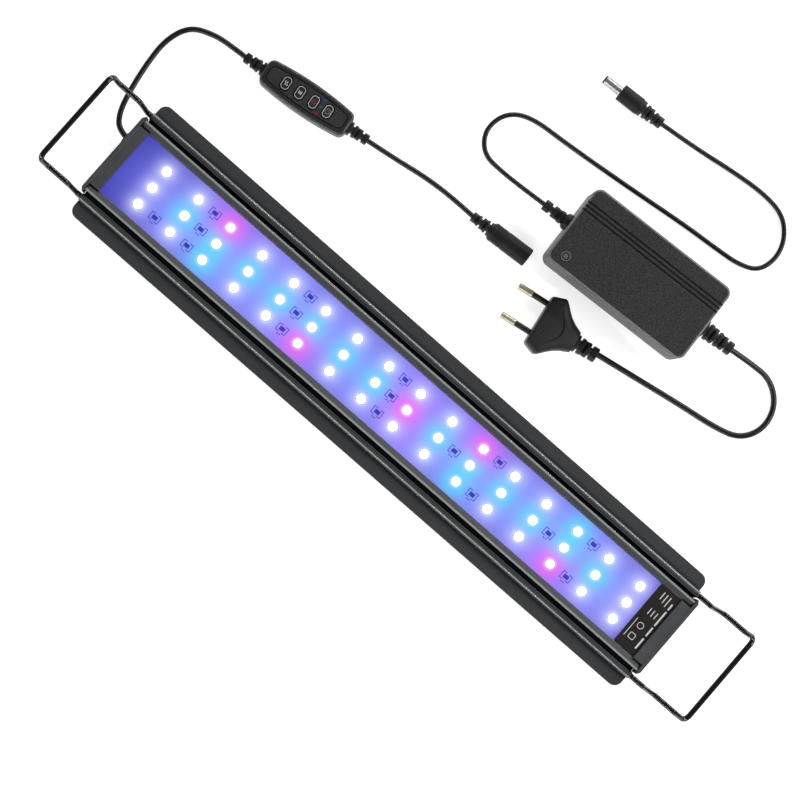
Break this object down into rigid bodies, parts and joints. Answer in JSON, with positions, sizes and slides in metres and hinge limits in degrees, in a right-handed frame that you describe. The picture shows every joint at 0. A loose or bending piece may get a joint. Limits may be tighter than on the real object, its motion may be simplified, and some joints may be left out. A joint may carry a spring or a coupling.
{
  "type": "led aquarium light",
  "caption": "Flat LED bar light for an aquarium, with winged aluminium housing, sliding wire brackets, button controller on its cord and a separate power adapter with barrel plug.",
  "frame": {"origin": "middle of the light's flat back, which lies on the ground plane", "axes": "+X along the light from the cord end to the label end, +Y across it towards the adapter, +Z out of its LED side"},
  "size_m": [0.4618, 0.2642, 0.0387],
  "materials": {
    "anodised_aluminium": "satin dark grey anodised",
    "cap_plastic": "fine matte",
    "foam": "matte foam",
    "steel": "zinc plated",
    "board_white": "white solder mask in blue light",
    "led_white": "lit white",
    "led_blue": "lit blue",
    "led_red": "lit red",
    "component": "matte",
    "clear_acrylic": "clear",
    "label": "satin printed",
    "cord_rubber": "satin",
    "copper_wire": "insulated",
    "coated_wire": "gloss black coating",
    "case_plastic": "fine spark-eroded grain",
    "face_plastic": "satin",
    "button_plastic": "satin with pale print",
    "lamp_blue": "satin",
    "lamp_green": "satin",
    "lamp_red": "satin",
    "circuit_green": "solder mask",
    "relief_rubber": "matte",
    "plug_plastic": "satin",
    "nickel": "polished nickel",
    "brass": "polished",
    "ferrite": "tape and ferrite",
    "capacitor_sleeve": "shrink sleeve",
    "cast_aluminium": "bare",
    "lamp_clear": "clear"
  },
  "bodies": {
    "light": {"housing_extrusion": "anodised_aluminium", "end_cap_left": "cap_plastic", "end_cap_right": "cap_plastic", "gasket_left": "foam", "gasket_right": "foam", "end_cap_screws": "steel", "circuit_board": "board_white", "leds_white": "led_white", "leds_blue": "led_blue", "leds_red": "led_red", "resistors": "component", "clear_cover": "clear_acrylic", "rating_label": "label", "cord_grommet": "relief_rubber", "lead_wires": "copper_wire", "controller_lower_case": "case_plastic", "controller_upper_case": "case_plastic", "controller_face_plate": "face_plastic", "controller_board": "circuit_green", "key_switches": "component", "indicator_blue": "lamp_blue", "indicator_green": "lamp_green", "indicator_red": "lamp_red", "controller_relief_left": "relief_rubber", "controller_relief_right": "relief_rubber", "dc_socket_body": "plug_plastic", "dc_socket_sleeve": "nickel", "dc_socket_pin": "nickel", "dc_socket_relief": "relief_rubber", "adapter_lower_case": "case_plastic", "adapter_upper_case": "case_plastic", "adapter_lamp": "lamp_clear", "adapter_board": "circuit_green", "transformer": "ferrite", "input_capacitor": "capacitor_sleeve", "output_capacitors": "capacitor_sleeve", "heat_sink": "cast_aluminium", "adapter_dc_relief": "relief_rubber", "adapter_mains_relief": "relief_rubber", "barrel_relief": "relief_rubber", "barrel_body": "plug_plastic", "barrel_tube": "nickel", "barrel_insulator": "component", "mains_plug_body": "plug_plastic", "plug_pins": "brass", "pin_sleeves": "component", "mains_plug_relief": "relief_rubber", "light_cord": "cord_rubber", "socket_cord": "cord_rubber", "adapter_cord": "cord_rubber", "mains_cord": "cord_rubber"},
    "bracket_left": {"bracket_left": "coated_wire"},
    "bracket_right": {"bracket_right": "coated_wire"},
    "button_1": {"button_1": "button_plastic"},
    "button_2": {"button_2": "button_plastic"},
    "button_3": {"button_3": "button_plastic"},
    "button_4": {"button_4": "button_plastic"}
  },
  "joints": [
    {"name": "bracket_left_slide", "type": "slide", "parent": "light", "child": "bracket_left", "axis": [-1, 0, 0], "range_m": [-0.0008, 0.1]},
    {"name": "bracket_right_slide", "type": "slide", "parent": "light", "child": "bracket_right", "axis": [1, 0, 0], "range_m": [-0.0076, 0.0932]},
    {"name": "button_1_press", "type": "slide", "parent": "light", "child": "button_1", "axis": [0, 0, -1], "range_m": [0, 0.0004], "stiffness_N_per_m": 400, "springref_m": -0.0005},
    {"name": "button_2_press", "type": "slide", "parent": "light", "child": "button_2", "axis": [0, 0, -1], "range_m": [0, 0.0004], "stiffness_N_per_m": 400, "springref_m": -0.0005},
    {"name": "button_3_press", "type": "slide", "parent": "light", "child": "button_3", "axis": [0, 0, -1], "range_m": [0, 0.0004], "stiffness_N_per_m": 400, "springref_m": -0.0005},
    {"name": "button_4_press", "type": "slide", "parent": "light", "child": "button_4", "axis": [0, 0, -1], "range_m": [0, 0.0004], "stiffness_N_per_m": 400, "springref_m": -0.0005}
  ]
}
